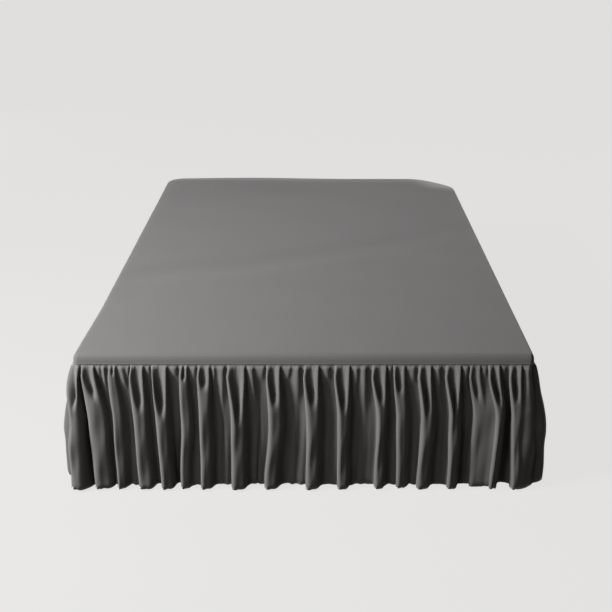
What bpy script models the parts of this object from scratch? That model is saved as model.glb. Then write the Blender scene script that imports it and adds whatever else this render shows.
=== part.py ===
"""A gathered bed skirt on a plain bed base, in metres, with +Z up and the foot of the bed towards -Y.

The skirt is a platform panel that lies on the base under the mattress, and three gathered panels that hang from
its edge: one at the foot, which turns both corners, and one down each side, which turns the corner at the head.
The origin is on the floor, under the middle of the bed.
"""

from collections import namedtuple
from math import pi

import bmesh
import bpy
import numpy as np

# The bed
BED_WIDTH = 1.500
BED_LENGTH = 2.000
TOP = 0.506
FOOT_CORNER = 0.018
HEAD_CORNER_LEFT = 0.080
HEAD_CORNER_RIGHT = 0.150
HEAD_RETURN = 0.050

# The cloth and its seam, which runs round the bed a little below the top. The gathered panels hang from just
# under the platform panel's edge, a little set in.
CLOTH = 0.0018
RUFFLE_CLOTH = 0.0016
RUFFLE_SET_IN = 0.001
ROLL = 0.013
SEAM_DOWN = 0.035
DROP = 0.467
GAP = 0.0003
SEAM_GAP = 0.0007
FOOT_PANEL_HALF = 0.805

# The base and its legs
EDGE_CLEARANCE = 0.002
LEG_HEIGHT = 0.180
LEG_RADIUS = 0.030
LEG_TAPER = 0.006
LEG_INSET = 0.130

# A fold that runs to the hem: where its two gathers leave the seam, how far down they join, where its
# crest's left side is at the waist, its crest's two sides at the hem, how far it stands out there, and
# how far out the cloth hangs in the valley on its right. Places are along the edge from the foot's middle.
Fold = namedtuple("Fold", "seam_left seam_right join waist hem_left hem_right depth valley")
# A gather that fades out: where it leaves the seam, where it ends, how far down, and how far it stands out
Gather = namedtuple("Gather", "seam end fade height")

FOOT_FOLDS = (
    Fold(-0.790, -0.780, 0.100, -0.782, -0.784, -0.776, 0.067, 0.006),
    Fold(-0.757, -0.749, 0.165, -0.742, -0.745, -0.740, 0.073, 0.002),
    Fold(-0.722, -0.693, 0.135, -0.711, -0.712, -0.664, 0.050, 0.012),
    Fold(-0.636, -0.622, 0.040, -0.633, -0.643, -0.617, 0.046, 0.012),
    Fold(-0.566, -0.532, 0.180, -0.563, -0.562, -0.526, 0.050, 0.004),
    Fold(-0.497, -0.455, 0.200, -0.487, -0.486, -0.456, 0.053, 0.001),
    Fold(-0.403, -0.388, 0.060, -0.404, -0.420, -0.398, 0.048, 0.012),
    Fold(-0.345, -0.315, 0.095, -0.343, -0.350, -0.322, 0.050, 0.008),
    Fold(-0.247, -0.200, 0.230, -0.238, -0.244, -0.207, 0.054, 0.006),
    Fold(-0.120, -0.085, 0.160, -0.112, -0.131, -0.097, 0.052, 0.007),
    Fold(0.003, 0.042, 0.160, 0.014, 0.010, 0.044, 0.053, 0.009),
    Fold(0.103, 0.143, 0.180, 0.118, 0.118, 0.144, 0.051, 0.008),
    Fold(0.226, 0.262, 0.150, 0.248, 0.246, 0.266, 0.048, 0.010),
    Fold(0.293, 0.323, 0.110, 0.315, 0.321, 0.345, 0.043, 0.008),
    Fold(0.378, 0.409, 0.190, 0.395, 0.392, 0.423, 0.052, 0.009),
    Fold(0.466, 0.505, 0.190, 0.490, 0.496, 0.519, 0.050, 0.005),
    Fold(0.545, 0.569, 0.140, 0.570, 0.574, 0.600, 0.030, 0.034),
    Fold(0.604, 0.632, 0.155, 0.644, 0.638, 0.655, 0.056, 0.000),
    Fold(0.675, 0.704, 0.140, 0.695, 0.714, 0.737, 0.054, 0.052),
    Fold(0.754, 0.765, 0.060, 0.756, 0.754, 0.768, 0.075, 0.006),
)
FOOT_GATHERS = (
    Gather(-0.675, -0.676, 0.060, 0.010),
    Gather(-0.657, -0.662, 0.120, 0.012),
    Gather(-0.597, -0.590, 0.110, 0.013),
    Gather(-0.578, -0.585, 0.060, 0.009),
    Gather(-0.512, -0.508, 0.060, 0.009),
    Gather(-0.425, -0.421, 0.060, 0.011),
    Gather(-0.360, -0.364, 0.075, 0.010),
    Gather(-0.297, -0.300, 0.100, 0.012),
    Gather(-0.268, -0.287, 0.240, 0.014),
    Gather(-0.174, -0.162, 0.220, 0.017),
    Gather(-0.135, -0.137, 0.070, 0.012),
    Gather(-0.048, -0.061, 0.080, 0.012),
    Gather(-0.022, -0.024, 0.180, 0.015),
    Gather(0.075, 0.077, 0.080, 0.012),
    Gather(0.171, 0.160, 0.160, 0.014),
    Gather(0.196, 0.194, 0.250, 0.016),
    Gather(0.280, 0.281, 0.060, 0.009),
    Gather(0.356, 0.361, 0.090, 0.012),
    Gather(0.438, 0.443, 0.170, 0.014),
    Gather(0.529, 0.531, 0.120, 0.012),
    Gather(0.589, 0.590, 0.060, 0.008),
    Gather(0.652, 0.654, 0.060, 0.008),
    Gather(0.735, 0.736, 0.070, 0.012),
)

# The sides, which repeat the foot's rhythm unevenly
SIDE_PITCH = 0.098
SIDE_UNEVEN = 0.022
SIDE_SEEDS = {"right": 5, "left": 11}

# How much of its depth a fold has at each depth below the seam
Level = namedtuple("Level", "down fullness")
LEVELS = (
    Level(0.000, 0.02),
    Level(0.012, 0.22),
    Level(0.035, 0.36),
    Level(0.070, 0.48),
    Level(0.160, 0.72),
    Level(0.280, 0.95),
    Level(0.467, 1.00),
)
WAIST = 0.200
CREST_HALF = 0.004
POCKET_TOP = 0.45
FLANK = 0.008
MIN_SPACING = 0.0032
END_MARGIN = 0.006

# Where the panels' points lie: rows down the foot and the sides, and points for each control column
FOOT_ROWS = (0.000, 0.012, 0.060, 0.150, 0.290, DROP)
SIDE_ROWS = (0.000, 0.012, 0.070, 0.200, DROP)
FOOT_FINENESS = 1.0
SIDE_FINENESS = 1.0

# The platform panel: cells across and along its flat part, rings of cells round its rolled edge, and how
# the corners and the straight run share the flat part's sides
DECK_CELLS = (14, 16)
ROLL_RINGS = 3
CORNER_SHARES = (0, 0.05, 0.95, 1)

# A soft trough across the platform panel, as points along it, its depth and half-width, and a slight crown
# along the head
TROUGH = ((-0.90, -0.38), (-0.51, -0.28), (-0.27, -0.246), (0.01, -0.125), (0.265, -0.033), (0.62, 0.16))
TROUGH_DEPTH = 0.0022
TROUGH_HALF = 0.120
CROWN = 0.007
CROWN_MIDDLE = -0.33
CROWN_HALF = 0.620
CROWN_FROM = 0.600
# The back right corner, where the padded base is worn down
WORN_CORNER = (0.72, 0.97)
WORN_DEPTH = 0.018
WORN_RADIUS = 0.200
WORN_SLACK = 0.15

SLATE = (0.137, 0.133, 0.133, 1)
SLATE_SHADE = (0.110, 0.106, 0.105, 1)
TICKING = (0.420, 0.400, 0.370, 1)
BEECH = (0.330, 0.205, 0.110, 1)


def smooth(t):
    """An eased step from 0 to 1."""
    t = np.clip(t, 0, 1)
    return t * t * (3 - 2 * t)


def edge(q):
    """Points on the bed's edge and the outward normals there, q metres along it from the foot's middle."""
    q = np.asarray(q, float)
    side, q = np.where(q < 0, -1, 1), np.abs(q)
    head = np.where(side < 0, HEAD_CORNER_LEFT, HEAD_CORNER_RIGHT)
    turn_foot = BED_WIDTH / 2 - FOOT_CORNER
    turn_side = turn_foot + FOOT_CORNER * pi / 2
    turn_head = turn_side + BED_LENGTH - FOOT_CORNER - head
    foot_angle = np.clip((q - turn_foot) / FOOT_CORNER, 0, pi / 2)
    head_angle = np.clip((q - turn_head) / head, 0, pi / 2)
    angle = foot_angle + head_angle
    normal = np.stack([np.sin(angle), -np.cos(angle)], -1)
    head_turned = head_angle > 0
    x = np.minimum(q, turn_foot) + FOOT_CORNER * np.sin(foot_angle)
    y = FOOT_CORNER * (1 - np.cos(foot_angle)) + np.clip(q - turn_side, 0, turn_head - turn_side)
    x = np.where(head_turned, BED_WIDTH / 2 - head * (1 - np.sin(angle)), x)
    y = np.where(head_turned, BED_LENGTH - head * (1 + np.cos(angle)), y)
    x = x - np.maximum(q - turn_head - head * pi / 2, 0)
    points = np.stack([side * x, y - BED_LENGTH / 2], -1)
    normal[..., 0] *= side
    return points, normal


def head_end(side):
    """How far along the edge a side panel ends, past the head's corner."""
    head = HEAD_CORNER_LEFT if side == "left" else HEAD_CORNER_RIGHT
    turn = BED_WIDTH / 2 - FOOT_CORNER + FOOT_CORNER * pi / 2
    return turn + BED_LENGTH - FOOT_CORNER - head + head * pi / 2 + HEAD_RETURN


def fullness(down):
    return np.interp(down, [level.down for level in LEVELS], [level.fullness for level in LEVELS])


def fold_columns(fold, before, down):
    """A fold's seven control columns: place along the edge and depth, at each depth below the seam. Before it
    lies a valley of the given depth."""
    merged = smooth(down / fold.join)
    closed = smooth((down / fold.join - POCKET_TOP) / (1 - POCKET_TOP))
    to_waist = smooth(down / WAIST)
    to_hem = smooth((down - WAIST) / (DROP - WAIST))
    width = fold.hem_right - fold.hem_left
    left = fold.seam_left - CREST_HALF + (fold.waist - fold.seam_left + CREST_HALF) * to_waist
    left = left + (fold.hem_left - fold.waist) * to_hem
    right = fold.seam_right + CREST_HALF + (fold.waist + width - fold.seam_right - CREST_HALF) * to_waist
    right = right + (fold.hem_right - fold.waist - width) * to_hem
    crest = 2 * CREST_HALF + (width / 3 - 2 * CREST_HALF) * merged
    depth = fold.depth * fullness(down)
    valley, before = (hem * smooth(down / DROP) for hem in (fold.valley, before))
    return [
        (left - FLANK, before),
        (left, depth),
        (left + crest, depth),
        ((left + right) / 2, depth * (0.15 + 0.81 * closed)),
        (right - crest, depth * (0.97 - 0.08 * merged)),
        (right, depth * (0.94 - 0.12 * merged)),
        (right + FLANK, valley),
    ]


def gather_columns(gather, low, high, place, down, valley):
    """A gather's two control columns, crest and valley, which settle at their place between two folds."""
    fading = smooth(1.6 - 1.6 * down / gather.fade)
    height = gather.height * (0.14 + 0.86 * smooth(down / 0.022)) * fading
    settling = smooth(down / (gather.fade + 0.12))
    crest = gather.seam + (gather.end - gather.seam) * smooth(down / gather.fade)
    crest = crest + (low + (high - low) * place - crest) * settling
    spacing = np.maximum(0.010, (high - low) * 0.12)
    return [(crest, valley + height), (crest + spacing, valley * np.ones_like(crest))]


def columns_of(folds, gathers, start, end, down):
    """All control columns of a panel, as places along the edge and depths, in order from start to end."""
    columns = [(start + 0 * down, 0 * down), (start + END_MARGIN + 0 * down, 0 * down)]
    since, before = start, 0
    for fold in folds:
        own = fold_columns(fold, before, down)
        between = [g for g in gathers if since < g.seam < fold.seam_left]
        low, high = columns[-1][0], own[0][0]
        valley = before * smooth(down / DROP)
        for number, gather in enumerate(between):
            place = (number + 1) / (len(between) + 1)
            columns += gather_columns(gather, low, high, place, down, valley)
        columns += own
        since, before = fold.seam_right, fold.valley
    columns += [(end - END_MARGIN + 0 * down, 0 * down), (end + 0 * down, 0 * down)]
    places = np.array([place for place, _ in columns])
    depths = np.array([depth for _, depth in columns])
    return spaced(places), depths


def spaced(places):
    """The places kept in order and apart, with the two at each end where they are."""
    steps = np.arange(len(places))[:, None] * MIN_SPACING
    forward = np.maximum.accumulate(places - steps, axis=0) + steps
    backward = np.minimum.accumulate((places - steps)[::-1], axis=0)[::-1] + steps
    mixed = (forward + backward) / 2
    mixed[:2], mixed[-2:] = places[:2], places[-2:]
    return mixed


def spline(controls, t):
    """A uniform cubic B-spline through rows of controls at t, which runs from 0 to the last row's number."""
    padded = np.concatenate([[2 * controls[0] - controls[1]], controls, [2 * controls[-1] - controls[-2]]])
    whole = np.minimum(t.astype(int), len(controls) - 2)
    part = (t - whole).reshape(-1, *[1] * (controls.ndim - 1))
    weights = (
        (1 - part) ** 3,
        3 * part**3 - 6 * part**2 + 4,
        -3 * part**3 + 3 * part**2 + 3 * part + 1,
        part**3,
    )
    return sum(weight * padded[whole + number] for number, weight in enumerate(weights)) / 6


def hanging(folds, gathers, start, end, fineness, rows):
    """Points of a gathered panel, one row of them for each depth below the seam."""
    fine = np.linspace(0, DROP, 61)
    places, depths = columns_of(folds, gathers, start, end, fine)
    count = int(round((len(places) - 1) * fineness)) + 1
    t = np.linspace(0, len(places) - 1, count)
    places, depths = spline(places, t), spline(depths, t)
    step = fine[1] - fine[0]
    lean = np.hypot(np.diff(places, axis=1), np.diff(depths, axis=1))
    fall = np.sqrt(np.maximum(step**2 - lean**2, (0.8 * step) ** 2))
    heights = np.concatenate([np.zeros((count, 1)), np.cumsum(fall, axis=1)], axis=1)
    grid = []
    for down in rows:
        q, depth, fallen = (
            np.array([np.interp(down, fine, line) for line in lines]) for lines in (places, depths, heights)
        )
        points, normals = edge(q)
        plan = points + normals * (depth[:, None] - RUFFLE_SET_IN)
        grid.append(np.column_stack([plan, TOP - SEAM_DOWN - SEAM_GAP - fallen]))
    return np.array(grid)


def side_folds(side):
    """Folds and gathers for a side panel, which follow the foot's rhythm with seeded unevenness."""
    random = np.random.default_rng(SIDE_SEEDS[side])
    start, end = FOOT_PANEL_HALF + GAP, head_end(side)
    count = int((end - start) / SIDE_PITCH)
    pitch = (end - start) / count
    folds, gathers = [], []
    for number in range(count):
        middle = start + (number + 0.5) * pitch + random.uniform(-SIDE_UNEVEN, SIDE_UNEVEN) / 2
        apart = random.uniform(0.012, 0.022)
        hem = middle + random.uniform(-0.010, 0.010)
        half = random.uniform(0.008, 0.019)
        join = random.uniform(0.050, 0.220)
        depth, valley = random.uniform(0.043, 0.055), random.uniform(0.002, 0.012)
        fold = Fold(middle - apart, middle + apart, join, hem - half, hem - half, hem + half, depth, valley)
        folds.append(fold)
        if number < count - 1:
            seam = middle + pitch / 2 + random.uniform(-0.006, 0.006)
            fade, height = random.uniform(0.060, 0.240), random.uniform(0.009, 0.016)
            gathers.append(Gather(seam, seam + random.uniform(-0.008, 0.008), fade, height))
    if side == "right":
        return folds, gathers, start, end
    mirrored = [
        Fold(-f.seam_right, -f.seam_left, f.join, -f.hem_right, -f.hem_right, -f.hem_left, f.depth, f.valley)
        for f in reversed(folds)
    ]
    return mirrored, [Gather(-g.seam, -g.end, g.fade, g.height) for g in reversed(gathers)], -end, -start


def roll(ring):
    """Inset and height below the top of a ring of the platform panel, ring 0 being its edge at the seam."""
    if ring == 0:
        return 0, SEAM_DOWN
    angle = ring / ROLL_RINGS * pi / 2
    return ROLL * (1 - np.cos(angle)), ROLL * (1 - np.sin(angle))


def worn(x, y):
    away = np.hypot(x - WORN_CORNER[0], y - WORN_CORNER[1])
    return WORN_DEPTH * smooth(1 - away / WORN_RADIUS)


def slack(x, y):
    """Height of the platform's soft relief: a trough across it, and a slight crown along its head."""
    away = np.inf
    for (x0, y0), (x1, y1) in zip(TROUGH, TROUGH[1:]):
        run = np.clip(((x - x0) * (x1 - x0) + (y - y0) * (y1 - y0)) / ((x1 - x0) ** 2 + (y1 - y0) ** 2), 0, 1)
        away = min(away, np.hypot(x - x0 - run * (x1 - x0), y - y0 - run * (y1 - y0)))
    across = smooth(1 - abs(x - CROWN_MIDDLE) / CROWN_HALF)
    crown = CROWN * smooth((y - CROWN_FROM) / (BED_LENGTH / 2 - CROWN_FROM)) * across
    return crown - TROUGH_DEPTH * smooth(1 - away / TROUGH_HALF)


def side_measure(index, ring, cells):
    """Where a ring's point lies on its side of the platform: 0 to 1 is the first half corner, 1 to 2 the
    straight run and 2 to 3 the last half corner. The lines of points across the rings stay straight."""
    near = ROLL_RINGS + 1
    if index < near:
        return (index - ring) / (near - ring)
    if index > cells - near:
        return 3 - (cells - index - ring) / (near - ring)
    return 1 + (index - near) / (cells - 2 * near)


def ring_point(side, measure, inset):
    """A point of the bed's edge, set in, on one of the four sides that run between the corners' middles."""
    foot_arc = FOOT_CORNER * pi / 4
    foot_middle = BED_WIDTH / 2 - FOOT_CORNER + foot_arc
    arcs = {"left": HEAD_CORNER_LEFT * pi / 4, "right": HEAD_CORNER_RIGHT * pi / 4}
    middles = {name: head_end(name) - HEAD_RETURN - arc for name, arc in arcs.items()}
    stops = [0, 1, 2, 3]
    if side == "foot":
        straight = foot_middle - foot_arc
        q = np.interp(measure, stops, [-foot_middle, -straight, straight, foot_middle])
    elif side == "head" and measure < 1:
        q = -np.interp(measure, [0, 1], [middles["left"], middles["left"] + arcs["left"]])
    elif side == "head":
        turned = middles["right"] + arcs["right"]
        straight = BED_WIDTH - HEAD_CORNER_LEFT - HEAD_CORNER_RIGHT
        q = np.interp(measure, [1, 2, 3], [turned + straight, turned, middles["right"]])
    else:
        middle, arc = middles[side], arcs[side]
        q = np.interp(measure, stops, [foot_middle, foot_middle + foot_arc, middle - arc, middle])
        q = -q if side == "left" else q
    point, normal = edge(q)
    return point - normal * inset


def inner_point(i, j, across, along, inset):
    """A point inside the platform, blended from the four sides of the innermost ring."""
    across_at, along_at = (side_measure(n, ROLL_RINGS, cells) for n, cells in ((i, across), (j, along)))
    a, b = (np.interp(measure, (0, 1, 2, 3), CORNER_SHARES) for measure in (across_at, along_at))
    foot, head = (ring_point(side, across_at, inset) for side in ("foot", "head"))
    left, right = (ring_point(side, along_at, inset) for side in ("left", "right"))
    blend = (1 - b) * foot + b * head + (1 - a) * left + a * right
    for weight, side in ((1 - b, "foot"), (b, "head")):
        blend = blend - weight * ((1 - a) * ring_point(side, 0, inset) + a * ring_point(side, 3, inset))
    return blend


def platform(inset, lower):
    """Points of the platform's surface, a grid whose outer rings run round the rolled edge."""
    across, along = (cells + 2 * ROLL_RINGS for cells in DECK_CELLS)
    grid = np.zeros((along + 1, across + 1, 3))
    for j in range(along + 1):
        for i in range(across + 1):
            ring = min(i, j, across - i, along - j, ROLL_RINGS)
            set_in, fallen = roll(ring)
            sides = {
                "foot": (j == ring, i, across),
                "head": (j == along - ring, i, across),
                "left": (i == ring, j, along),
                "right": (i == across - ring, j, along),
            }
            side = next((name for name, (on_it, _, _) in sides.items() if on_it), None)
            if side:
                x, y = ring_point(side, side_measure(sides[side][1], ring, sides[side][2]), set_in + inset)
            else:
                x, y = inner_point(i, j, across, along, set_in + inset)
            height = TOP - fallen - lower - worn(x, y) * (1 - fallen / SEAM_DOWN)
            grid[j, i] = x, y, height + slack(x, y) * max(0, 1 - fallen / ROLL)
    return grid


def finish_of(name, colour, roughness):
    """A plain material of one colour."""
    material = bpy.data.materials.get(name) or bpy.data.materials.new(name)
    material.use_nodes = True
    shader = material.node_tree.nodes["Principled BSDF"]
    shader.inputs["Base Color"].default_value = colour
    shader.inputs["Roughness"].default_value = roughness
    material.diffuse_color = colour
    return material


def added(name, material, collection):
    """Names the object that was just made, and files it."""
    piece = bpy.context.object
    piece.name = piece.data.name = name
    for old in list(piece.users_collection):
        old.objects.unlink(piece)
    collection.objects.link(piece)
    piece.data.materials.append(material)
    piece.data.shade_smooth()
    return piece


def sheet_of(name, grid, material, collection):
    """A primitive grid moved to the points given, rows of them, whose faces look out and up."""
    rows, columns = grid.shape[:2]
    bpy.ops.mesh.primitive_grid_add(x_subdivisions=columns - 1, y_subdivisions=rows - 1, size=2)
    piece = added(name, material, collection)
    flat = np.empty(len(piece.data.vertices) * 3, np.float32)
    piece.data.vertices.foreach_get("co", flat)
    flat = flat.reshape(-1, 3)
    i = np.round((flat[:, 0] + 1) / 2 * (columns - 1)).astype(int)
    j = np.round((flat[:, 1] + 1) / 2 * (rows - 1)).astype(int)
    piece.data.vertices.foreach_set("co", grid[j, i].astype(np.float32).ravel())
    piece.data.update()
    return piece


def thicken(piece, thickness, offset):
    solid = piece.modifiers.new("Solidify", "SOLIDIFY")
    solid.thickness = thickness
    solid.offset = offset
    solid.use_even_offset = True
    solid.thickness_clamp = 1


def make_ruffle(name, folds, gathers, start, end, fineness, rows, material, collection):
    """A gathered panel. Its rows go up from the hem, so that its faces look out."""
    grid = hanging(folds, gathers, start, end, fineness, rows)
    piece = sheet_of(name, grid[::-1], material, collection)
    thicken(piece, RUFFLE_CLOTH, 0)


def make_deck(material, collection):
    """The platform panel, turned down over the base's edge all round."""
    piece = sheet_of("deck", platform(0, 0), material, collection)
    thicken(piece, CLOTH, -1)


def make_base(material, collection):
    """The padded base: the platform's form set in under the cloth, with straight sides and a flat bottom."""
    inset = CLOTH + EDGE_CLEARANCE
    piece = sheet_of("bed_base", platform(inset, CLOTH + GAP), material, collection)
    mesh = bmesh.new()
    mesh.from_mesh(piece.data)
    for vertex in mesh.verts:
        x, y, z = vertex.co
        vertex.co.z -= worn(x, y) * WORN_SLACK * max(0, 1 - (TOP - z) / SEAM_DOWN)
    rim = [e for e in mesh.edges if e.is_boundary]
    lowered = bmesh.ops.extrude_edge_only(mesh, edges=rim)["geom"]
    for vertex in (v for v in lowered if isinstance(v, bmesh.types.BMVert)):
        vertex.co.z = LEG_HEIGHT
    bmesh.ops.contextual_create(mesh, geom=[e for e in mesh.edges if e.is_boundary])
    bmesh.ops.recalc_face_normals(mesh, faces=mesh.faces)
    mesh.to_mesh(piece.data)
    mesh.free()
    piece.data.set_sharp_from_angle(angle=pi / 5)


def make_legs(material, collection):
    """Four turned legs under the base, a little thinner at the floor."""
    height = LEG_HEIGHT - GAP
    for across, x in (("left", -1), ("right", 1)):
        for along, y in (("foot", -1), ("head", 1)):
            place = x * (BED_WIDTH / 2 - LEG_INSET), y * (BED_LENGTH / 2 - LEG_INSET), height / 2
            bpy.ops.mesh.primitive_cone_add(
                vertices=20, radius1=LEG_RADIUS - LEG_TAPER, radius2=LEG_RADIUS, depth=height, location=place
            )
            leg = added(f"leg_{along}_{across}", material, collection)
            leg.data.set_sharp_from_angle(angle=pi / 5)


def main():
    for old in list(bpy.data.objects):
        bpy.data.objects.remove(old)
    collection = bpy.data.collections.new("bed_skirt")
    bpy.context.scene.collection.children.link(collection)
    cloth = finish_of("skirt_cloth", SLATE, 0.9)
    platform_cloth = finish_of("platform_cloth", SLATE_SHADE, 0.9)

    make_deck(platform_cloth, collection)
    foot = FOOT_FOLDS, FOOT_GATHERS, -FOOT_PANEL_HALF, FOOT_PANEL_HALF
    make_ruffle("ruffle_foot", *foot, FOOT_FINENESS, FOOT_ROWS, cloth, collection)
    for side in ("left", "right"):
        make_ruffle(f"ruffle_{side}", *side_folds(side), SIDE_FINENESS, SIDE_ROWS, cloth, collection)
    make_base(finish_of("base_ticking", TICKING, 0.85), collection)
    make_legs(finish_of("leg_wood", BEECH, 0.5), collection)


main()
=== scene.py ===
"""The looks of a gathered bed skirt on a plain bed base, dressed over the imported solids.

The cloth pieces repeat the folds of their solids on a much finer grid, with the creases, puckers and hems that
the solids leave out. Places along the bed's edge are in metres from the middle of the foot, to the right.
"""

from collections import namedtuple
from math import pi, radians

import bpy
import numpy as np
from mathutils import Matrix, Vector


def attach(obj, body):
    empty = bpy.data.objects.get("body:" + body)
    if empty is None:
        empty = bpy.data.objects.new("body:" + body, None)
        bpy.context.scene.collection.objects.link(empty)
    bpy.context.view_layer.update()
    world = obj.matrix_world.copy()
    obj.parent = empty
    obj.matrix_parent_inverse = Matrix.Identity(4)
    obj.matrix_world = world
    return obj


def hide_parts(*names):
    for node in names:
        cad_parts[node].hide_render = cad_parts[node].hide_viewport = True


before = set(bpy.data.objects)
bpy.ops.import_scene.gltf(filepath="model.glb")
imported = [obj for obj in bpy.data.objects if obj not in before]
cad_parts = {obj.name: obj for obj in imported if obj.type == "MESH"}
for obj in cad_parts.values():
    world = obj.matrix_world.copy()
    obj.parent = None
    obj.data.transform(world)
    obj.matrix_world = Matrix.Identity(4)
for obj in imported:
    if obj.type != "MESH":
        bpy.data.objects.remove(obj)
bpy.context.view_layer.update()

# The bed, as in the solids
BED_WIDTH, BED_LENGTH = 1.500, 2.000
TOP = 0.506
FOOT_CORNER = 0.018
CORNER_BULGE = 0.010
HEAD_CORNER_LEFT = 0.080
HEAD_CORNER_RIGHT = 0.150
HEAD_RETURN = 0.050

# The cloth and its seam
CLOTH = 0.0012
ROLL = 0.014
ROLL_DOWN = 0.030
SEAM_DOWN = 0.035
DROP = 0.467
TUCK = 0.004
FOOT_PANEL_HALF = 0.805
GAP = 0.0003

# A fold that runs to the hem: where its two gathers leave the seam, how far down they join, where its
# crest's left side is at the waist, its crest's two sides at the hem, how far it stands out there, how far
# out the cloth hangs in the valley on its right, how much its crest slopes towards that valley, and how far
# down it stays shallower than the others
Fold = namedtuple("Fold", "seam_left seam_right join waist hem_left hem_right depth valley tilt late")
# A gather that fades out: where it leaves the seam, where it ends, how far down, and how far it stands out
Gather = namedtuple("Gather", "seam end fade height")

FOOT_FOLDS = (
    Fold(-0.790, -0.780, 0.100, -0.782, -0.784, -0.776, 0.085, 0.006, 0.00, 0.20),
    Fold(-0.755, -0.734, 0.165, -0.7425, -0.746, -0.7375, 0.075, 0.002, 0.24, 0.05),
    Fold(-0.722, -0.693, 0.135, -0.711, -0.712, -0.664, 0.050, 0.012, 0.24, 0.00),
    Fold(-0.636, -0.622, 0.040, -0.633, -0.643, -0.617, 0.046, 0.012, 0.24, 0.00),
    Fold(-0.566, -0.532, 0.180, -0.563, -0.562, -0.526, 0.050, 0.004, 0.24, 0.00),
    Fold(-0.497, -0.455, 0.200, -0.487, -0.486, -0.456, 0.053, 0.001, 0.24, 0.00),
    Fold(-0.403, -0.388, 0.060, -0.404, -0.420, -0.398, 0.048, 0.012, 0.24, 0.00),
    Fold(-0.345, -0.315, 0.095, -0.343, -0.350, -0.322, 0.050, 0.008, 0.24, 0.00),
    Fold(-0.247, -0.200, 0.230, -0.238, -0.244, -0.207, 0.054, 0.006, 0.24, 0.00),
    Fold(-0.120, -0.085, 0.160, -0.112, -0.131, -0.097, 0.052, 0.007, 0.24, 0.00),
    Fold(0.003, 0.042, 0.160, 0.014, 0.010, 0.044, 0.053, 0.009, 0.24, 0.00),
    Fold(0.103, 0.143, 0.180, 0.118, 0.118, 0.144, 0.051, 0.008, 0.24, 0.00),
    Fold(0.226, 0.262, 0.150, 0.248, 0.246, 0.266, 0.048, 0.010, 0.24, 0.00),
    Fold(0.293, 0.323, 0.110, 0.315, 0.321, 0.345, 0.043, 0.008, 0.24, 0.00),
    Fold(0.378, 0.409, 0.190, 0.395, 0.392, 0.423, 0.052, 0.009, 0.24, 0.00),
    Fold(0.466, 0.505, 0.190, 0.490, 0.496, 0.519, 0.050, 0.005, 0.24, 0.00),
    Fold(0.545, 0.569, 0.140, 0.570, 0.574, 0.600, 0.031, 0.028, -0.03, 0.00),
    Fold(0.604, 0.632, 0.155, 0.644, 0.638, 0.655, 0.056, 0.000, 0.24, 0.00),
    Fold(0.675, 0.704, 0.140, 0.695, 0.714, 0.734, 0.054, 0.044, 0.02, 0.00),
    Fold(0.759, 0.768, 0.060, 0.756, 0.757, 0.770, 0.078, 0.006, 0.00, 0.12),
)
FOOT_GATHERS = (
    Gather(-0.675, -0.676, 0.060, 0.010),
    Gather(-0.657, -0.662, 0.120, 0.012),
    Gather(-0.597, -0.590, 0.110, 0.013),
    Gather(-0.578, -0.585, 0.060, 0.009),
    Gather(-0.512, -0.508, 0.060, 0.009),
    Gather(-0.425, -0.421, 0.060, 0.011),
    Gather(-0.360, -0.364, 0.075, 0.010),
    Gather(-0.297, -0.300, 0.100, 0.012),
    Gather(-0.268, -0.287, 0.240, 0.014),
    Gather(-0.174, -0.162, 0.220, 0.017),
    Gather(-0.135, -0.137, 0.070, 0.012),
    Gather(-0.048, -0.061, 0.080, 0.012),
    Gather(-0.022, -0.024, 0.180, 0.015),
    Gather(0.075, 0.077, 0.080, 0.012),
    Gather(0.171, 0.160, 0.160, 0.014),
    Gather(0.196, 0.194, 0.250, 0.016),
    Gather(0.280, 0.281, 0.060, 0.009),
    Gather(0.356, 0.361, 0.090, 0.012),
    Gather(0.438, 0.443, 0.170, 0.014),
    Gather(0.529, 0.531, 0.120, 0.012),
    Gather(0.589, 0.590, 0.060, 0.008),
    Gather(0.652, 0.654, 0.060, 0.008),
    Gather(0.730, 0.737, 0.150, 0.018),
)
SIDE_PITCH = 0.098
SIDE_UNEVEN = 0.022
SIDE_SEEDS = {"right": 5, "left": 11}

# How much of its depth a fold has at each depth below the seam
Level = namedtuple("Level", "down fullness")
LEVELS = (
    Level(0.000, 0.00),
    Level(0.004, 0.10),
    Level(0.012, 0.24),
    Level(0.035, 0.36),
    Level(0.070, 0.48),
    Level(0.160, 0.72),
    Level(0.280, 0.95),
    Level(0.467, 1.00),
)
WAIST = 0.200
CREST_HALF = 0.0022
FLANK = 0.008
SEAM_FLANK = 0.0045
MIN_SPACING = 0.0016
END_MARGIN = 0.006
POCKET_TOP = 0.60
FULL_VALLEY = 0.020
LEAN = 0.013

# The grids of the cloth pieces
FOOT_COLUMNS = 1120
SIDE_COLUMNS = 1120
ROWS = 41
ROW_CROWDING = 0.75
DECK_CELLS = (84, 112)
ROLL_RINGS = 12

# The soft trough across the platform panel: points along it, its depth and its half-width
TROUGH = ((-0.90, -0.38), (-0.62, -0.32), (-0.51, -0.28), (-0.27, -0.246), (-0.15, -0.19), (0.01, -0.125),
          (0.265, -0.033), (0.445, 0.064), (0.62, 0.16))
TROUGH_DEPTH = 0.0024
TROUGH_HALF = 0.125
RAISED = 0.0005
DECK_UNEVEN = 0.0005
CROWN = 0.007
WORN_CORNER = (0.72, 0.97)
WORN_DEPTH = 0.018
WORN_RADIUS = 0.200

# The camera, fitted to the photo's outline of the platform
CAMERA_PLACE = (0.035, -3.491, TOP + 1.331)
CAMERA_PITCH = radians(24.87)
CAMERA_LENS = 51.1
CAMERA_SHIFT = -0.0162
GLOW = 0.74

# Colours, linear
SLATE = (0.104, 0.102, 0.101)
SLATE_DARK = (0.090, 0.088, 0.087)
FLOOR_WHITE = (0.03, 0.03, 0.029, 1)


def smooth(t):
    """An eased step from 0 to 1."""
    t = np.clip(t, 0, 1)
    return t * t * (3 - 2 * t)


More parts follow.
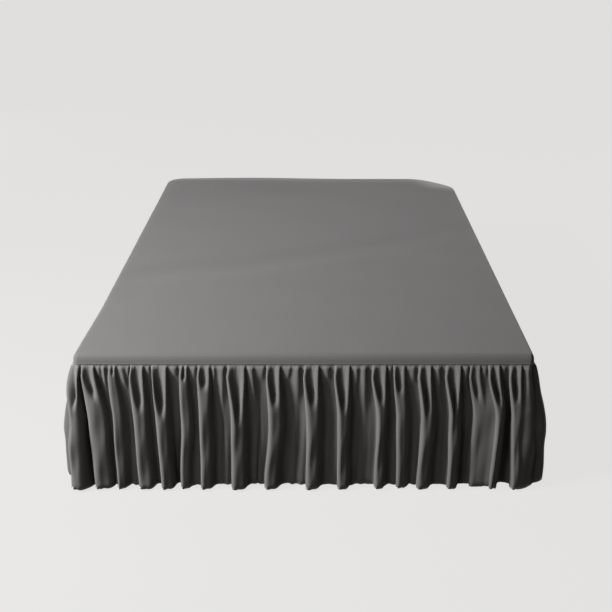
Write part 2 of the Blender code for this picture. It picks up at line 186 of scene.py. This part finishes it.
def waves(a, b, lengths, seed):
    """A smooth uneven field between about -1 and 1 over two coordinates, from a few seeded sine waves."""
    random = np.random.default_rng(seed)
    total = 0
    for length_a, length_b in lengths:
        phase = random.uniform(0, 2 * pi)
        stretch = random.uniform(0.8, 1.25, 2)
        total = total + np.sin(2 * pi * (a / length_a * stretch[0] + b / length_b * stretch[1]) + phase)
    return total / len(lengths)


# The bed's edge


def edge(q):
    """Points on the bed's edge and the outward normals there, q metres along it from the foot's middle."""
    q = np.asarray(q, float)
    side, q = np.where(q < 0, -1, 1), np.abs(q)
    head = np.where(side < 0, HEAD_CORNER_LEFT, HEAD_CORNER_RIGHT)
    turn_foot = BED_WIDTH / 2 - FOOT_CORNER
    turn_side = turn_foot + FOOT_CORNER * pi / 2
    turn_head = turn_side + BED_LENGTH - FOOT_CORNER - head
    foot_angle = np.clip((q - turn_foot) / FOOT_CORNER, 0, pi / 2)
    head_angle = np.clip((q - turn_head) / head, 0, pi / 2)
    angle = foot_angle + head_angle
    normal = np.stack([np.sin(angle), -np.cos(angle)], -1)
    head_turned = head_angle > 0
    x = np.minimum(q, turn_foot) + FOOT_CORNER * np.sin(foot_angle)
    y = FOOT_CORNER * (1 - np.cos(foot_angle)) + np.clip(q - turn_side, 0, turn_head - turn_side)
    x = np.where(head_turned, BED_WIDTH / 2 - head * (1 - np.sin(angle)), x)
    y = np.where(head_turned, BED_LENGTH - head * (1 + np.cos(angle)), y)
    x = x - np.maximum(q - turn_head - head * pi / 2, 0)
    bulge = CORNER_BULGE * smooth((x - 0.70) / 0.05) * smooth(1 - y / 0.40)
    x = x + np.where(side < 0, bulge, 0)
    points = np.stack([side * x, y - BED_LENGTH / 2], -1)
    normal[..., 0] *= side
    return points, normal


def head_end(side):
    """How far along the edge a side panel ends, past the head's corner."""
    head = HEAD_CORNER_LEFT if side == "left" else HEAD_CORNER_RIGHT
    turn = BED_WIDTH / 2 - FOOT_CORNER + FOOT_CORNER * pi / 2
    return turn + BED_LENGTH - FOOT_CORNER - head + head * pi / 2 + HEAD_RETURN


# The gathered panels


def fullness(down):
    return np.interp(down, [level.down for level in LEVELS], [level.fullness for level in LEVELS])


def valley_depth(at_hem, down):
    """How far out a valley hangs; one about as full as its folds fills out as they do."""
    return at_hem * (fullness(down) * smooth(down / 0.18) if at_hem > FULL_VALLEY else smooth(down / DROP))


def fold_columns(fold, before, down):
    """A fold's eight control columns: place along the edge, depth, and how far the place leans to the right
    under the crest, at each depth below the seam. Before it lies a valley of the given depth."""
    merged = smooth(down / fold.join)
    closed = smooth((down / fold.join - POCKET_TOP) / (1 - POCKET_TOP))
    to_waist = smooth(down / WAIST)
    to_hem = smooth((down - WAIST) / (DROP - WAIST))
    width = fold.hem_right - fold.hem_left
    left = fold.seam_left - CREST_HALF + (fold.waist - fold.seam_left + CREST_HALF) * to_waist
    left = left + (fold.hem_left - fold.waist) * to_hem
    from_corner = abs(abs(fold.waist) - BED_WIDTH / 2) - FOOT_CORNER
    lean = LEAN * smooth(down / 0.05) * smooth(from_corner / 0.03)
    left = left - 0.5 * lean
    right = fold.seam_right + CREST_HALF + (fold.waist + width - fold.seam_right - CREST_HALF) * to_waist
    right = right + (fold.hem_right - fold.waist - width) * to_hem
    crest = 2 * CREST_HALF + (width / 3 - 2 * CREST_HALF) * merged
    flank = SEAM_FLANK + (FLANK - SEAM_FLANK) * smooth(down / 0.12)
    depth = fold.depth * fullness(down) * (1 - 0.5 * np.exp(-down / max(fold.late, 0.001)))
    valley, before = valley_depth(fold.valley, down), valley_depth(before, down)
    middle = depth * (0.08 + (0.90 - 0.25 * fold.tilt) * closed)
    still = 0 * down
    return [
        (left - flank, before, lean),
        (left - flank / 2, before + 0.55 * (depth - before), -0.2 * lean),
        (left, depth, still),
        (left + crest, depth, still),
        ((left + right) / 2, middle, still),
        (right - crest, depth * (0.98 - 0.45 * fold.tilt * merged), still),
        (right, depth * (0.93 - 0.70 * fold.tilt * merged), still),
        (right + flank, valley, still),
    ]


def gather_columns(gather, low, high, place, down, valley):
    """A gather's two control columns, crest and valley, which settle at their place between two folds."""
    fading = smooth(1.6 - 1.6 * down / gather.fade)
    height = gather.height * smooth(down / 0.014) * fading
    settling = smooth(down / (gather.fade + 0.12))
    crest = gather.seam + (gather.end - gather.seam) * smooth(down / gather.fade)
    crest = crest + (low + (high - low) * place - crest) * settling
    spacing = 0.006 + np.maximum(0.004, (high - low) * 0.12 - 0.006) * smooth(down / 0.08)
    still = 0 * down
    return [(crest, valley + height, still), (crest + spacing, valley + still, still)]


def columns_of(folds, gathers, start, end, down):
    """All control columns of a panel, as places along the edge and depths, in order from start to end."""
    still = 0 * down
    columns = [(start + still, still, still), (start + END_MARGIN + still, still, still)]
    since, before = start, 0
    for fold in folds:
        own = fold_columns(fold, before, down)
        between = [g for g in gathers if since < g.seam < fold.seam_left]
        low, high = columns[-1][0], own[0][0]
        valley = valley_depth(before, down)
        for number, gather in enumerate(between):
            place = (number + 1) / (len(between) + 1)
            columns += gather_columns(gather, low, high, place, down, valley)
        columns += own
        since, before = fold.seam_right, fold.valley
    columns += [(end - END_MARGIN + still, still, still), (end + still, still, still)]
    places, depths, leans = (np.array(lines) for lines in zip(*columns))
    return spaced(places) + leans, depths


def spaced(places):
    """The places kept in order and apart, with the two at each end where they are."""
    steps = np.arange(len(places))[:, None] * MIN_SPACING
    forward = np.maximum.accumulate(places - steps, axis=0) + steps
    backward = np.minimum.accumulate((places - steps)[::-1], axis=0)[::-1] + steps
    mixed = (forward + backward) / 2
    mixed[:2], mixed[-2:] = places[:2], places[-2:]
    return mixed


def spline(controls, t):
    """A uniform cubic B-spline through rows of controls at t, which runs from 0 to the last row's number."""
    padded = np.concatenate([[2 * controls[0] - controls[1]], controls, [2 * controls[-1] - controls[-2]]])
    whole = np.minimum(t.astype(int), len(controls) - 2)
    part = (t - whole).reshape(-1, *[1] * (controls.ndim - 1))
    weights = (
        (1 - part) ** 3,
        3 * part**3 - 6 * part**2 + 4,
        -3 * part**3 + 3 * part**2 + 3 * part + 1,
        part**3,
    )
    return sum(weight * padded[whole + number] for number, weight in enumerate(weights)) / 6


def even_steps(places, depths, count):
    """Spline positions at which the columns are about as far apart in the cloth all along the panel."""
    t = np.linspace(0, len(places) - 1, 6 * len(places))
    q, depth = spline(places, t), spline(depths, t)
    lengths = np.hypot(np.diff(q, axis=0), np.diff(depth, axis=0)).max(axis=1)
    run = np.concatenate([[0], np.cumsum(lengths)])
    return np.interp(np.linspace(0, run[-1], count), run, t), run[-1]


def hanging(folds, gathers, start, end, columns, seed):
    """Points of a gathered panel, a row of them for each depth below the seam, and each column's place in
    the flat cloth."""
    share = np.linspace(0, 1, ROWS + 1)
    down = DROP * ((1 - ROW_CROWDING) * share + ROW_CROWDING * share**2)
    places, depths = columns_of(folds, gathers, start, end, down)
    t, width = even_steps(places, depths, columns + 1)
    q, depth = spline(places, t), spline(depths, t)
    lengths = np.hypot(np.diff(q, axis=0), np.diff(depth, axis=0)).sum(axis=0)
    flat_width = ((lengths[1:] + lengths[:-1]) / 2 * np.diff(down)).sum() / DROP
    cloth = np.linspace(0, width, columns + 1)[:, None]
    ends = smooth(np.minimum(cloth, width - cloth) / 0.03)
    below = smooth(down / 0.05)
    q = q + ends * below * 0.0016 * waves(cloth, down, ((0.31, 0.33), (0.19, 0.21), (0.12, 0.5)), seed)
    depth = depth * (1 + 0.05 * ends * waves(cloth, down, ((0.23, 0.30), (0.11, 0.24)), seed + 1))
    low = np.exp(-((depth / 0.022) ** 2)) * smooth((down - 0.07) / 0.26)
    ripple = 0.5 + 0.5 * waves(cloth, down, ((0.052, 1.1), (0.037, 1.6), (0.083, 0.9)), seed + 3)
    depth = depth + ends * low * 0.0100 * ripple
    pucker = np.exp(-down / 0.022) * smooth(down / 0.006)
    depth = depth + ends * pucker * 0.0011 * waves(cloth, down, ((0.011, 0.3), (0.017, 0.2), (0.008, 1)), seed + 2)
    step = np.diff(down)
    lean = np.hypot(np.diff(q, axis=1), np.diff(depth, axis=1))
    fall = np.sqrt(np.maximum(step**2 - lean**2, (0.8 * step) ** 2))
    fallen = np.concatenate([np.zeros((columns + 1, 1)), np.cumsum(fall, axis=1)], axis=1)
    points, normals = edge(q)
    recess = 0.0014 + 0.0016 * np.exp(-down / 0.0025)
    plan = points + normals * (depth - recess)[..., None]
    grid = np.concatenate([plan, (TOP - SEAM_DOWN - 0.0005 - fallen)[..., None]], axis=-1)
    tucked = grid[:, :1] - np.concatenate([normals[:, :1] * 0.0012, np.full((columns + 1, 1, 1), -TUCK)], -1)
    return np.concatenate([tucked, grid], axis=1).transpose(1, 0, 2), cloth[:, 0] * flat_width / width, down


def side_folds(side):
    """Folds and gathers for a side panel, which follow the foot's rhythm with seeded unevenness."""
    random = np.random.default_rng(SIDE_SEEDS[side])
    start, end = FOOT_PANEL_HALF + GAP, head_end(side)
    count = int((end - start) / SIDE_PITCH)
    pitch = (end - start) / count
    folds, gathers = [], []
    for number in range(count):
        middle = start + (number + 0.5) * pitch + random.uniform(-SIDE_UNEVEN, SIDE_UNEVEN) / 2
        apart = random.uniform(0.012, 0.022)
        hem = middle + random.uniform(-0.010, 0.010)
        half = random.uniform(0.008, 0.019)
        join = random.uniform(0.050, 0.220)
        depth, valley = random.uniform(0.043, 0.055), random.uniform(0.002, 0.012)
        crest = hem - half, hem - half, hem + half
        fold = Fold(middle - apart, middle + apart, join, *crest, depth, valley, random.uniform(0.1, 0.35), 0)
        folds.append(fold)
        if number < count - 1:
            seam = middle + pitch / 2 + random.uniform(-0.006, 0.006)
            fade, height = random.uniform(0.060, 0.240), random.uniform(0.009, 0.016)
            gathers.append(Gather(seam, seam + random.uniform(-0.008, 0.008), fade, height))
    if side == "right":
        return folds, gathers, start, end
    mirrored = [
        Fold(-f.seam_right, -f.seam_left, f.join, -f.hem_right, -f.hem_right, -f.hem_left, *f[6:])
        for f in reversed(folds)
    ]
    return mirrored, [Gather(-g.seam, -g.end, g.fade, g.height) for g in reversed(gathers)], -end, -start


# The platform panel


def roll(ring):
    """Inset and height below the top of a ring of the platform panel, ring 0 being its edge at the seam."""
    bead = ((0.0012, 0.0350), (-0.0008, 0.0345), (-0.0012, 0.0326), (0.0001, 0.0306))
    if ring < len(bead):
        return bead[ring]
    angle = (ring - len(bead) + 0.6) / (ROLL_RINGS - len(bead) + 0.6) * pi / 2
    return ROLL * (1 - np.cos(angle)), ROLL_DOWN * (1 - np.sin(angle))


def worn(x, y):
    away = np.hypot(x - WORN_CORNER[0], y - WORN_CORNER[1])
    return WORN_DEPTH * smooth(1 - away / WORN_RADIUS)


def slack(x, y):
    """Height of the platform's soft relief: a trough across it, and a slight crown along its head."""
    away = np.full(np.shape(x), np.inf)
    for (x0, y0), (x1, y1) in zip(TROUGH, TROUGH[1:]):
        run = np.clip(((x - x0) * (x1 - x0) + (y - y0) * (y1 - y0)) / ((x1 - x0) ** 2 + (y1 - y0) ** 2), 0, 1)
        away = np.minimum(away, np.hypot(x - x0 - run * (x1 - x0), y - y0 - run * (y1 - y0)))
    sides = smooth((BED_WIDTH / 2 - np.abs(x)) / 0.12)
    fading = 1 - 0.45 * smooth((x + 0.3) / 0.9)
    trough = TROUGH_DEPTH * sides * fading * smooth(1 - away / TROUGH_HALF)
    crown = CROWN * smooth((y - 0.60) / 0.40) * smooth(1 - np.abs(x + 0.33) / 0.62)
    return crown - trough


def side_measure(index, ring, cells):
    """Where a ring's points lie on a side of the platform: 0 to 1 is the first half corner, 1 to 2 the
    straight run and 2 to 3 the last half corner."""
    near = ROLL_RINGS + 1
    first = (index - ring) / (near - ring)
    last = 3 - (cells - index - ring) / (near - ring)
    straight = 1 + (index - near) / (cells - 2 * near)
    return np.where(index < near, first, np.where(index > cells - near, last, straight))


def ring_points(side, measure, inset):
    """Points of the bed's edge, set in, on one of the four sides that run between the corners' middles."""
    foot_arc = FOOT_CORNER * pi / 4
    foot_middle = BED_WIDTH / 2 - FOOT_CORNER + foot_arc
    arcs = {"left": HEAD_CORNER_LEFT * pi / 4, "right": HEAD_CORNER_RIGHT * pi / 4}
    middles = {name: head_end(name) - HEAD_RETURN - arc for name, arc in arcs.items()}
    stops = (0, 1, 2, 3)
    if side == "foot":
        straight = foot_middle - foot_arc
        q = np.interp(measure, stops, (-foot_middle, -straight, straight, foot_middle))
    elif side == "head":
        turned = middles["right"] + arcs["right"]
        straight = BED_WIDTH - HEAD_CORNER_LEFT - HEAD_CORNER_RIGHT
        q = np.where(
            measure < 1,
            -np.interp(measure, (0, 1), (middles["left"], middles["left"] + arcs["left"])),
            np.interp(measure, (1, 2, 3), (turned + straight, turned, middles["right"])),
        )
    else:
        middle, arc = middles[side], arcs[side]
        q = np.interp(measure, stops, (foot_middle, foot_middle + foot_arc, middle - arc, middle))
        q = -q if side == "left" else q
    points, normals = edge(q)
    return points - normals * inset


def platform():
    """Points of the platform's surface, a grid whose outer rings run round the rolled edge."""
    across, along = (cells + 2 * ROLL_RINGS for cells in DECK_CELLS)
    i, j = np.arange(across + 1), np.arange(along + 1)
    plan = np.zeros((along + 1, across + 1, 2))
    fallen = np.zeros((along + 1, across + 1))
    for ring in range(ROLL_RINGS + 1):
        set_in, height = roll(ring)
        of_i, of_j = i[ring : across + 1 - ring], j[ring : along + 1 - ring]
        across_at, along_at = side_measure(of_i, ring, across), side_measure(of_j, ring, along)
        rows, columns = slice(ring, along + 1 - ring), slice(ring, across + 1 - ring)
        fallen[rows, columns] = height
        plan[ring, columns] = ring_points("foot", across_at, set_in)
        plan[along - ring, columns] = ring_points("head", across_at, set_in)
        plan[rows, ring] = ring_points("left", along_at, set_in)
        plan[rows, across - ring] = ring_points("right", along_at, set_in)
    shares = (0, 0.05, 0.95, 1)
    a = np.interp(across_at, (0, 1, 2, 3), shares)[None, :, None]
    b = np.interp(along_at, (0, 1, 2, 3), shares)[:, None, None]
    foot, head = plan[ring, columns][None], plan[along - ring, columns][None]
    left, right = plan[rows, ring][:, None], plan[rows, across - ring][:, None]
    inner = (1 - b) * foot + b * head + (1 - a) * left + a * right
    inner = inner - (1 - b) * ((1 - a) * foot[:, :1] + a * foot[:, -1:])
    plan[rows, columns] = inner - b * ((1 - a) * head[:, :1] + a * head[:, -1:])
    x, y = plan[..., 0], plan[..., 1]
    z = TOP - fallen - worn(x, y) * np.maximum(0, 1 - fallen / SEAM_DOWN)
    flat = np.maximum(0, 1 - fallen / ROLL_DOWN)
    uneven = DECK_UNEVEN * waves(x, y, ((0.61, 0.45), (0.37, 0.9), (0.9, 0.33)), 3)
    z = z + flat * (RAISED + slack(x, y) + uneven)
    return np.concatenate([plan, z[..., None]], axis=-1)


# Meshes


def grid_mesh(name, grid, u, v):
    """A mesh over rows of points, with UVs in metres of flat cloth."""
    rows, columns = grid.shape[:2]
    number = np.arange(rows * columns).reshape(rows, columns)
    quads = np.stack([number[:-1, :-1], number[:-1, 1:], number[1:, 1:], number[1:, :-1]], -1).reshape(-1, 4)
    mesh = bpy.data.meshes.new(name)
    mesh.from_pydata(grid.reshape(-1, 3).tolist(), [], quads.tolist())
    uvs = np.stack(np.broadcast_arrays(u, v), -1).reshape(-1, 2)
    layer = mesh.uv_layers.new(name="UVMap")
    layer.data.foreach_set("uv", uvs[quads.ravel()].astype(np.float32).ravel())
    mesh.shade_smooth()
    mesh.update()
    piece = bpy.data.objects.new(name, mesh)
    bpy.context.scene.collection.objects.link(piece)
    return piece


def thicken(piece, thickness, offset):
    solid = piece.modifiers.new("Solidify", "SOLIDIFY")
    solid.thickness = thickness
    solid.offset = offset


# Materials


class Graph:
    """A short way to add and link nodes in a material."""

    def __init__(self, name):
        self.material = bpy.data.materials.new(name)
        self.material.use_nodes = True
        self.tree = self.material.node_tree
        self.shader = self.tree.nodes["Principled BSDF"]

    def node(self, kind, settings=None, **inputs):
        node = self.tree.nodes.new(kind)
        for key, value in (settings or {}).items():
            setattr(node, key, value)
        for key, value in inputs.items():
            socket = node.inputs[key.replace("_", " ")]
            if isinstance(value, bpy.types.NodeSocket):
                self.tree.links.new(value, socket)
            else:
                socket.default_value = value
        return node

    def math(self, operation, first, second):
        node = self.tree.nodes.new("ShaderNodeMath")
        node.operation = operation
        for number, value in enumerate((first, second)):
            if isinstance(value, bpy.types.NodeSocket):
                self.tree.links.new(value, node.inputs[number])
            else:
                node.inputs[number].default_value = value
        return node.outputs[0]

    def mix(self, factor, first, second):
        """A blend of two colours, given as linear tuples."""
        node = self.tree.nodes.new("ShaderNodeMix")
        node.data_type = "RGBA"
        self.tree.links.new(factor, node.inputs["Factor"])
        node.inputs["A"].default_value = (*first, 1)
        node.inputs["B"].default_value = (*second, 1)
        return node.outputs["Result"]

    def link(self, output, name):
        self.tree.links.new(output, self.shader.inputs[name])


def microfibre(name, light, dark):
    """Brushed microfibre: a fine plain weave under a soft nap."""
    graph = Graph(name)
    uv = graph.node("ShaderNodeUVMap", {"uv_map": "UVMap"}).outputs["UV"]
    place = graph.node("ShaderNodeNewGeometry").outputs["Position"]
    cloudy = graph.node("ShaderNodeTexNoise", Vector=place, Scale=7.0, Detail=4.0, Roughness=0.6)
    nap = graph.node("ShaderNodeTexNoise", Vector=uv, Scale=420.0, Detail=3.0, Roughness=0.7)
    cloudy_share = graph.math("MULTIPLY", cloudy.outputs["Fac"], 0.7)
    nap_share = graph.math("MULTIPLY", nap.outputs["Fac"], 0.3)
    blend = graph.math("ADD", cloudy_share, nap_share)
    graph.link(graph.mix(blend, dark, light), "Base Color")
    warp = graph.node("ShaderNodeTexWave", {"bands_direction": "X"}, Vector=uv, Scale=420.0, Distortion=0.6)
    weft = graph.node("ShaderNodeTexWave", {"bands_direction": "Y"}, Vector=uv, Scale=420.0, Distortion=0.6)
    weave = graph.math("MULTIPLY", warp.outputs["Fac"], weft.outputs["Fac"])
    height = graph.math("ADD", graph.math("MULTIPLY", weave, 0.4), nap.outputs["Fac"])
    bump = graph.node("ShaderNodeBump", Strength=0.35, Distance=0.0003, Height=height)
    graph.link(bump.outputs["Normal"], "Normal")
    graph.shader.inputs["Roughness"].default_value = 0.80
    graph.shader.inputs["Specular IOR Level"].default_value = 0.26
    graph.shader.inputs["Sheen Weight"].default_value = 0.36
    graph.shader.inputs["Sheen Roughness"].default_value = 0.40
    graph.shader.inputs["Sheen Tint"].default_value = (0.92, 0.90, 0.90, 1)
    return graph.material


def ticking():
    """The base's woven ticking."""
    graph = Graph("base_ticking")
    place = graph.node("ShaderNodeNewGeometry").outputs["Position"]
    slub = graph.node("ShaderNodeTexNoise", Vector=place, Scale=160.0, Detail=4.0, Roughness=0.7)
    graph.link(graph.mix(slub.outputs["Fac"], (0.34, 0.32, 0.29), (0.47, 0.45, 0.41)), "Base Color")
    bump = graph.node("ShaderNodeBump", Strength=0.5, Distance=0.0005, Height=slub.outputs["Fac"])
    graph.link(bump.outputs["Normal"], "Normal")
    graph.shader.inputs["Roughness"].default_value = 0.88
    return graph.material


def leg_wood():
    """Satin beech with its grain up the leg."""
    graph = Graph("leg_wood")
    place = graph.node("ShaderNodeNewGeometry").outputs["Position"]
    stretched = graph.node("ShaderNodeMapping", Vector=place, Scale=(1.0, 1.0, 0.08)).outputs["Vector"]
    grain = graph.node("ShaderNodeTexNoise", Vector=stretched, Scale=190.0, Detail=5.0, Roughness=0.6)
    graph.link(graph.mix(grain.outputs["Fac"], (0.24, 0.135, 0.065), (0.42, 0.27, 0.15)), "Base Color")
    bump = graph.node("ShaderNodeBump", Strength=0.3, Distance=0.0004, Height=grain.outputs["Fac"])
    graph.link(bump.outputs["Normal"], "Normal")
    graph.shader.inputs["Roughness"].default_value = 0.42
    return graph.material


# Pieces


def dress_ruffle(node, folds, gathers, start, end, columns, seed, material):
    grid, cloth, down = hanging(folds, gathers, start, end, columns, seed)
    v = np.concatenate([[-TUCK], down])[:, None]
    piece = grid_mesh(f"{node}_cloth", grid[::-1], cloth[None], -v[::-1])
    piece.data.materials.append(material)
    thicken(piece, CLOTH, 0)
    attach(piece, "root")
    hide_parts(node)
    return piece


def dress_deck(material):
    grid = platform()
    piece = grid_mesh("platform_panel", grid, grid[..., 0], grid[..., 1])
    piece.data.materials.append(material)
    thicken(piece, CLOTH, -1)
    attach(piece, "root")
    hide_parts("deck")
    return piece


def finish_solids():
    """The base and its legs keep their solids and get their finishes."""
    base_finish, leg_finish = ticking(), leg_wood()
    for name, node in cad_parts.items():
        if name != "bed_base" and not name.startswith("leg_"):
            continue
        node.data.materials.clear()
        node.data.materials.append(base_finish if name == "bed_base" else leg_finish)


# The studio


def make_camera():
    camera = bpy.data.objects.new("camera", bpy.data.cameras.new("camera"))
    camera.location = CAMERA_PLACE
    camera.rotation_euler = (pi / 2 - CAMERA_PITCH, 0, 0)
    camera.data.sensor_width = 36
    camera.data.lens = CAMERA_LENS
    camera.data.shift_x = CAMERA_SHIFT
    bpy.context.scene.collection.objects.link(camera)
    bpy.context.scene.camera = camera


def make_light(name, place, target, size, spread, power):
    light = bpy.data.lights.new(name, "AREA")
    light.shape = "RECTANGLE"
    light.size, light.size_y = size
    light.spread = radians(spread)
    light.energy = power
    lamp = bpy.data.objects.new(name, light)
    lamp.location = place
    lamp.rotation_euler = (Vector(target) - Vector(place)).to_track_quat("-Z", "Y").to_euler()
    bpy.context.scene.collection.objects.link(lamp)


def make_stage():
    """A pale floor and a backdrop all round it, which shine evenly but throw no light on the cloth."""
    bpy.ops.mesh.primitive_plane_add(size=120, location=(0, 0, 0))
    floor = bpy.context.object
    floor.name = "floor"
    bpy.ops.mesh.primitive_uv_sphere_add(radius=58, segments=64, ring_count=32, location=(0, 0, 0))
    backdrop = bpy.context.object
    backdrop.name = "backdrop"
    for piece, white in ((floor, FLOOR_WHITE), (backdrop, (0, 0, 0, 1))):
        graph = Graph(f"{piece.name}_pale")
        graph.shader.inputs["Base Color"].default_value = white
        graph.shader.inputs["Roughness"].default_value = 1.0
        graph.shader.inputs["Specular IOR Level"].default_value = 0.0
        graph.shader.inputs["Emission Color"].default_value = (1, 0.99, 0.975, 1)
        graph.shader.inputs["Emission Strength"].default_value = GLOW
        piece.data.materials.append(graph.material)
        piece.visible_diffuse = False
        piece.visible_glossy = False
    backdrop.visible_shadow = False


def make_studio():
    make_stage()
    make_light("key", (-3.10, -2.05, 2.55), (0, -0.8, 0.35), (1.0, 1.0), 160, 300)
    make_light("top_back", (-0.3, 0.9, 3.0), (-0.3, 0.9, 0.5), (1.5, 1.5), 160, 8)
    make_light("fill", (-2.5, -4.0, 0.62), (0, -1.0, 0.28), (1.4, 0.7), 160, 26)
    make_light("back_left", (-4.5, 4.0, 0.5), (0, 0.6, 0.28), (1.5, 0.6), 160, 70)
    make_light("back_right", (5.0, 2.2, 0.16), (0, 0.4, 0.26), (2.0, 0.25), 160, 60)
    world = bpy.data.worlds.new("studio")
    world.use_nodes = True
    world.node_tree.nodes["Background"].inputs["Color"].default_value = (1.0, 0.93, 0.86, 1)
    world.node_tree.nodes["Background"].inputs["Strength"].default_value = 0.06
    bpy.context.scene.world = world
    bpy.context.scene.view_settings.view_transform = "Standard"


make_camera()
skirt_cloth = microfibre("skirt_cloth", SLATE, SLATE_DARK)
platform_cloth = microfibre("platform_cloth", SLATE, SLATE_DARK)
dress_deck(platform_cloth)
foot = FOOT_FOLDS, FOOT_GATHERS, -FOOT_PANEL_HALF, FOOT_PANEL_HALF
dress_ruffle("ruffle_foot", *foot, FOOT_COLUMNS, 20, skirt_cloth)
dress_ruffle("ruffle_left", *side_folds("left"), SIDE_COLUMNS, 30, skirt_cloth)
dress_ruffle("ruffle_right", *side_folds("right"), SIDE_COLUMNS, 40, skirt_cloth)
finish_solids()
make_studio()
